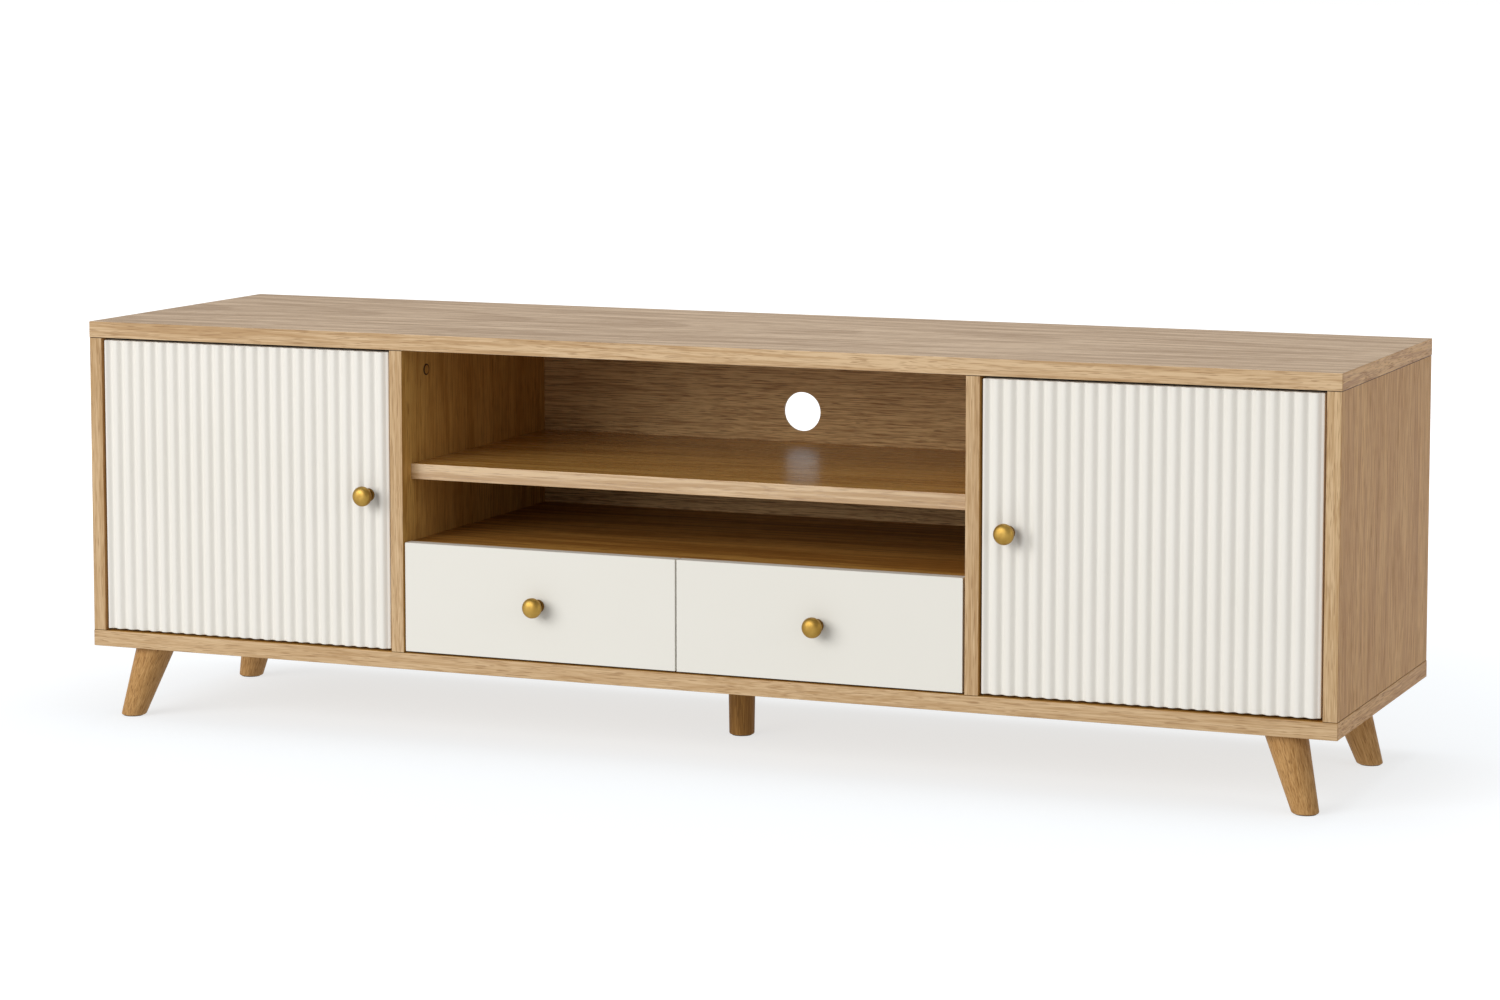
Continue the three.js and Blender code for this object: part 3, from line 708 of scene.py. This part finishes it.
def make_leg(node, tones, seed, felt):
    """A turned leg on a felt glide, leaning as its CAD solid does."""
    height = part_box(node)[1].z
    points = [v.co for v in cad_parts[node].data.vertices]
    top = [p for p in points if p.z > height - MM]
    foot = [p for p in points if p.z < MM]
    top_centre = sum(top, Vector()) / len(top)
    foot_centre = sum(foot, Vector()) / len(foot)
    top_radius = max((p - top_centre).length for p in top)
    lean = (top_centre - foot_centre) / height
    foot_radius = floor_radius(points, foot_centre, lean)

    def radius_at(z):
        return foot_radius + (top_radius - foot_radius) * z / height

    profile = [(0, GLIDE_HEIGHT)]
    steps = 2 * EDGE_STEPS
    for k in range(steps + 1):
        angle = math.pi / 2 * k / steps
        z = GLIDE_HEIGHT + FOOT_ROUNDING * (1 - math.cos(angle))
        profile.append((radius_at(z) - FOOT_ROUNDING * (1 - math.sin(angle)), z))
    profile += [(radius_at(height / 2), height / 2), (top_radius, height), (0, height)]
    bm = turned(profile, LEG_SEGMENTS)
    for v in bm.verts:
        v.co.x += foot_centre.x + lean.x * v.co.z
        v.co.y += foot_centre.y + lean.y * v.co.z
    oak_wood = wood(f"oak_{node}", "z", tones, seed, figure=LEG_FIGURE, lean=tuple(lean), shine=0.1)
    leg = new_piece(f"{node}_turned", bm, oak_wood, "carcass")
    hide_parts(node)

    glide_radius = foot_radius - FOOT_ROUNDING - MM
    glide = turned([(0, 0), (glide_radius, 0), (glide_radius, GLIDE_HEIGHT), (0, GLIDE_HEIGHT)], LEG_SEGMENTS)
    bmesh.ops.translate(glide, verts=glide.verts, vec=(foot_centre.x, foot_centre.y, 0))
    new_piece(f"{node}_glide", glide, felt, "carcass")


def make_legs(felt):
    """Four splayed legs and a straight one under the middle, in oak darkened to paint the shade under the
    cabinet.
    """
    nodes = [f"{row}_{side}_leg" for row in ("front", "rear") for side in SIDES] + ["centre_leg"]
    for seed, node in enumerate(nodes, 50):
        make_leg(node, SHADED_MIDDLE_LEG_OAK if node == "centre_leg" else LEG_OAK, seed, felt)


# ---------------------------------------------------------------- screws, pins, caps and catches

SCREW_SEGMENTS = 24
CAP_SEGMENTS = 32

# A screw's head as shares of its radius and height, and each kind's radius and height.
HEAD_PROFILE = [(0, 0), (1, 0), (1, 0.3), (0.88, 0.7), (0.62, 0.93), (0.5, 1), (0.3, 1), (0, 1)]
CROSS = {"above": 0.9, "half_width": 0.05, "reach": 0.55, "depth": 0.6}
CUP_HEAD = (3.4 * MM, 1.5 * MM)
PLATE_HEAD = (3.6 * MM, 1.6 * MM)
ARM_HEAD = (3.3 * MM, 1.4 * MM)
RUNNER_HEAD = (3.2 * MM, 1.3 * MM)

WING_SCREW = 22.5 * MM
PLATE_SCREW = 20 * MM
PLATE_WING = 2 * MM
ARM_THICKNESS = 2.4 * MM
ARM_SCREWS = (0.52, 0.84)
RUNNER_SHEET = 1.5 * MM
RUNNER_SCREWS = (0.12, 0.5, 0.88)

# Profiles in mm, from the wall out.
PIN_RADIUS = 2.6
PIN = [(0, 0), (5.0, 0), (5.0, 0.9), (PIN_RADIUS, 1.2), (2.5, 7.4), (2.1, 8.0), (0, 8.0)]
CAP = [(0, 0), (7, 0), (7, 0.7), (6.5, 1), (0, 1)]

PIN_FROM_SHELF_END = 38 * MM
CAM_CAP = {"from_front": 64.5 * MM, "from_rear": 90 * MM, "from_end": 29 * MM}
WEDGE = {"leg": 9 * MM, "length": 14 * MM, "spacing": 170 * MM, "edge": 0.5 * MM}
CATCH = {"width": 12 * MM, "depth": 22 * MM, "half_height": 21 * MM, "below_top": 62 * MM, "edge": MM}
POLE = {"half_width": MM, "proud": 0.15 * MM, "depth": 2 * MM, "half_height": 12.6 * MM, "edge": 0.1 * MM}
POLE_SHARES = (0.3, 0.7)
STRIKE = {"width": 9 * MM, "thickness": 0.8 * MM, "half_height": 15 * MM, "edge": 0.2 * MM}
STRIKE_PLAY = 0.2 * MM
STRIKE_FROM_EDGE = 1.5 * MM


def screws(name, spots, head, material, body):
    """Pan-head screws with a cross recess. spots are (place, facing) of the heads' undersides."""
    radius, height = head
    bm = bmesh.new()
    for place, facing in spots:
        first = len(bm.verts)
        turned([(r * radius, h * height) for r, h in HEAD_PROFILE], SCREW_SEGMENTS, bm, place, facing)
        bm.verts.ensure_lookup_table()
        out = Vector(facing)
        for v in bm.verts[first:]:
            rise = (v.co - Vector(place)).dot(out)
            spoke = (v.co - Vector(place)) - out * rise
            off_line = sorted(abs(c) for c in spoke)[1]
            in_cross = off_line < CROSS["half_width"] * radius and spoke.length < CROSS["reach"] * radius
            if rise > CROSS["above"] * height and in_cross:
                v.co -= out * CROSS["depth"] * height
    return new_piece(name, bm, material, body)


def hinge_screws(side, sign, metal):
    """Screws in the wings of the cups, in the plates on the side panel, and in the arms."""
    inward = (-sign, 0, 0)
    door, plates, arms = [], [], []
    for level in LEVELS:
        low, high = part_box(f"{level}_{side}_hinge_cup")
        middle = (low + high) / 2
        door += [((middle.x, high.y, middle.z + step * WING_SCREW), (0, 1, 0)) for step in (-1, 1)]
        low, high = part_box(f"{level}_{side}_hinge_plate")
        middle = (low + high) / 2
        x = (low.x if sign < 0 else high.x) - sign * PLATE_WING
        plates += [((x, middle.y, middle.z + step * PLATE_SCREW), inward) for step in (-1, 1)]
        low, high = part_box(f"{level}_{side}_hinge_arm")
        x = (low.x if sign < 0 else high.x) - sign * ARM_THICKNESS
        arms += [((x, low.y + share * (high.y - low.y), middle.z), inward) for share in ARM_SCREWS]
    screws(f"{side}_hinge_cup_screws", door, CUP_HEAD, metal, f"{side}_door")
    screws(f"{side}_hinge_plate_screws", plates, PLATE_HEAD, metal, "carcass")
    screws(f"{side}_hinge_arm_screws", arms, ARM_HEAD, metal, "carcass")


def runner_screws(side, sign, metal):
    """Three screws along the web of each runner, with their heads inside the channel."""
    for part, body, away in (("cabinet_runner", "carcass", -1), ("runner", f"{side}_drawer", 1)):
        spots = []
        for end, turn in (("inner", 1), ("outer", -1)):
            low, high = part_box(f"{side}_drawer_{end}_{part}")
            web = sign * turn * away
            x = (high.x if web > 0 else low.x) - web * RUNNER_SHEET
            z = (low.z + high.z) / 2
            spots += [((x, low.y + share * (high.y - low.y), z), (-web, 0, 0)) for share in RUNNER_SCREWS]
        screws(f"{side}_drawer_{part}_screws", spots, RUNNER_HEAD, metal, body)


def back_wedges(side, material):
    """Plastic wedges behind a back panel, pinned to the boards round it."""
    low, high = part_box(f"{side}_back_panel")
    out = Vector((0, 1, 0))
    corners = [Vector((x, high.y, z)) for x, z in
               ((low.x, low.z), (high.x, low.z), (high.x, high.z), (low.x, high.z))]
    bm = bmesh.new()
    for start, end in zip(corners, corners[1:] + corners[:1]):
        along = (end - start).normalized()
        inward = along.cross(out)
        count = round((end - start).length / WEDGE["spacing"])
        for k in range(count):
            middle = start.lerp(end, (k + 0.5) / count)
            caps = []
            for step in (-0.5, 0.5):
                corner = middle + along * step * WEDGE["length"]
                points = (corner, corner + inward * WEDGE["leg"], corner + out * WEDGE["leg"])
                caps.append([bm.verts.new(point) for point in points])
                bm.faces.new(caps[-1])
            for j in range(3):
                bm.faces.new((caps[0][j], caps[0][j - 1], caps[1][j - 1], caps[1][j]))
    bmesh.ops.bevel(bm, geom=list(bm.edges), offset=WEDGE["edge"], segments=2, profile=0.5, affect="EDGES")
    new_piece(f"{side}_back_panel_wedges", bm, material, "carcass")


def shelf_pins(side, metal):
    """Four pins in the cupboard's walls, just under its shelf."""
    low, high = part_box(f"{side}_bay_shelf")
    wall_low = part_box("left_side_panel" if side == "left" else "right_divider")[1].x
    wall_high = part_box("left_divider" if side == "left" else "right_side_panel")[0].x
    z = low.z - PIN_RADIUS * MM
    bm = bmesh.new()
    for x, facing in ((wall_low, (1, 0, 0)), (wall_high, (-1, 0, 0))):
        for y in (low.y + PIN_FROM_SHELF_END, high.y - PIN_FROM_SHELF_END):
            turned([(r * MM, h * MM) for r, h in PIN], SCREW_SEGMENTS, bm, (x, y, z), facing)
    new_piece(f"{side}_shelf_pins", bm, metal, "carcass")


def cam_caps(name, x, facing, depths, heights, material):
    """Round plastic caps over the cam locks, on the face at x."""
    bm = bmesh.new()
    for y in depths:
        for z in heights:
            turned([(r * MM, h * MM) for r, h in CAP], CAP_SEGMENTS, bm, (x, y, z), (facing, 0, 0))
    new_piece(name, bm, material, "carcass")


def bevelled_box(bm, low, high, edge):
    """Adds a box from corner to corner, with its edges eased."""
    made = bmesh.ops.create_cube(bm, size=1)["verts"]
    size = [b - a for a, b in zip(low, high)]
    for v in made:
        v.co = [a + (0.5 + c) * length for a, c, length in zip(low, v.co, size)]
    edges = list({e for v in made for e in v.link_edges})
    bmesh.ops.bevel(bm, geom=edges, offset=edge, segments=2, profile=0.5, affect="EDGES")


def door_catch(side, sign, body_material, metal):
    """A magnetic catch on the divider, and the steel plate on the door that it holds."""
    wall = sign * max(abs(c.x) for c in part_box(f"{side}_divider"))
    low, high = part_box(f"{side}_door_panel")
    z = high.z - CATCH["below_top"]
    front = high.y + STRIKE["thickness"] + STRIKE_PLAY
    xs = sorted((wall, wall + sign * CATCH["width"]))
    catch = bmesh.new()
    bevelled_box(catch, (xs[0], front, z - CATCH["half_height"]),
                 (xs[1], front + CATCH["depth"], z + CATCH["half_height"]), CATCH["edge"])
    new_piece(f"{side}_door_catch", catch, body_material, "carcass")
    poles = bmesh.new()
    for share in POLE_SHARES:
        x = wall + sign * CATCH["width"] * share
        bevelled_box(poles, (x - POLE["half_width"], front - POLE["proud"], z - POLE["half_height"]),
                     (x + POLE["half_width"], front + POLE["depth"], z + POLE["half_height"]), POLE["edge"])
    new_piece(f"{side}_door_catch_poles", poles, metal, "carcass")
    free_edge = sign * min(abs(low.x), abs(high.x))
    xs = sorted(free_edge + sign * (STRIKE_FROM_EDGE + step) for step in (0, STRIKE["width"]))
    strike = bmesh.new()
    bevelled_box(strike, (xs[0], high.y, z - STRIKE["half_height"]),
                 (xs[1], high.y + STRIKE["thickness"], z + STRIKE["half_height"]), STRIKE["edge"])
    new_piece(f"{side}_door_strike", strike, metal, f"{side}_door")


def make_fittings(metal, zinc, cap_material):
    """The small parts that the CAD leaves out."""
    low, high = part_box("left_divider")
    depths = (low.y + CAM_CAP["from_front"], high.y - CAM_CAP["from_rear"])
    heights = (low.z + CAM_CAP["from_end"], high.z - CAM_CAP["from_end"])
    for side, sign in SIDES.items():
        hinge_screws(side, sign, metal)
        runner_screws(side, sign, zinc)
        shelf_pins(side, metal)
        door_catch(side, sign, cap_material, metal)
        inner_face = sign * min(abs(c.x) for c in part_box(f"{side}_side_panel"))
        cam_caps(f"{side}_side_cam_caps", inner_face, -sign, depths, heights, cap_material)
    cam_caps("right_divider_cam_cap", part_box("right_divider")[0].x, -1, depths[:1], heights[1:], cap_material)
    for side in ("left", "centre", "right"):
        back_wedges(side, cap_material)


# ---------------------------------------------------------------- floor


def make_floor():
    """A plain floor that takes the cabinet's shadow and glows, more so further out, up to white."""
    bm = bmesh.new()
    bmesh.ops.create_grid(bm, x_segments=1, y_segments=1, size=FLOOR_REACH)
    mesh = bpy.data.meshes.new("floor")
    bm.to_mesh(mesh)
    bm.free()
    floor = bpy.data.objects.new("floor", mesh)
    s = Shader("floor_white", Specular_IOR_Level=0.0, Roughness=1.0)
    distance = s.node("ShaderNodeVectorMath", {0: s.place()}, operation="LENGTH").outputs["Value"]
    away = s.remap(distance, FLOOR_GLOW["near_radius"], FLOOR_GLOW["far_radius"], smooth=True)
    # Painted light: a cool tint on the glow near the cabinet cancels the warm light bounced off the oak.
    s.set("Emission Color", s.mix(away, FLOOR_GLOW_TINT, (1, 1, 1, 1)))
    s.set("Emission Strength", s.remap(away, 0, 1, FLOOR_GLOW["near"], FLOOR_GLOW["far"]))
    tone = s.noise(s.place(), scale=1.5, detail=2)
    s.set("Base Color", s.mix(tone, *FLOOR_TONES))
    mesh.materials.append(s.material)
    bpy.context.scene.collection.objects.link(floor)
    floor.visible_diffuse = False
    floor.visible_shadow = False


# ---------------------------------------------------------------- the whole scene

make_camera()
make_lights()
make_floor()
bpy.context.scene.view_settings.view_transform = "Standard"

door_paint = paint("door_paint", srgb(237, 233, 225), srgb(232, 228, 218), 1)
drawer_paint = paint("drawer_paint", srgb(232, 229, 220), srgb(228, 225, 215), 2)
brass_metal = brass("satin_brass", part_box("left_door_knob"))
hinge_steel = steel("hinge_nickel", srgb(205, 206, 206), srgb(176, 177, 178), 0.3)
runner_steel = steel("runner_zinc", srgb(190, 194, 198), srgb(160, 165, 170), 0.38, spangle=0.5)
brown_plastic = plastic("cap_plastic", srgb(190, 157, 116), srgb(176, 142, 102))
grey_felt = plastic("glide_felt", srgb(92, 84, 76), srgb(66, 60, 54), grain=2400, rough=0.85)

dress_boards()
dress_drawers(drawer_paint, runner_steel)
dress_hinges(hinge_steel)
dress("cam_cover", foil_cover("cam_cover_foil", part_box("cam_cover")), METAL_EDGE)
for side in SIDES:
    make_door(side, door_paint)
    for owner in (f"{side}_door", f"{side}_drawer"):
        make_knob(owner, brass_metal)
make_legs(grey_felt)
make_fittings(hinge_steel, runner_steel, brown_plastic)
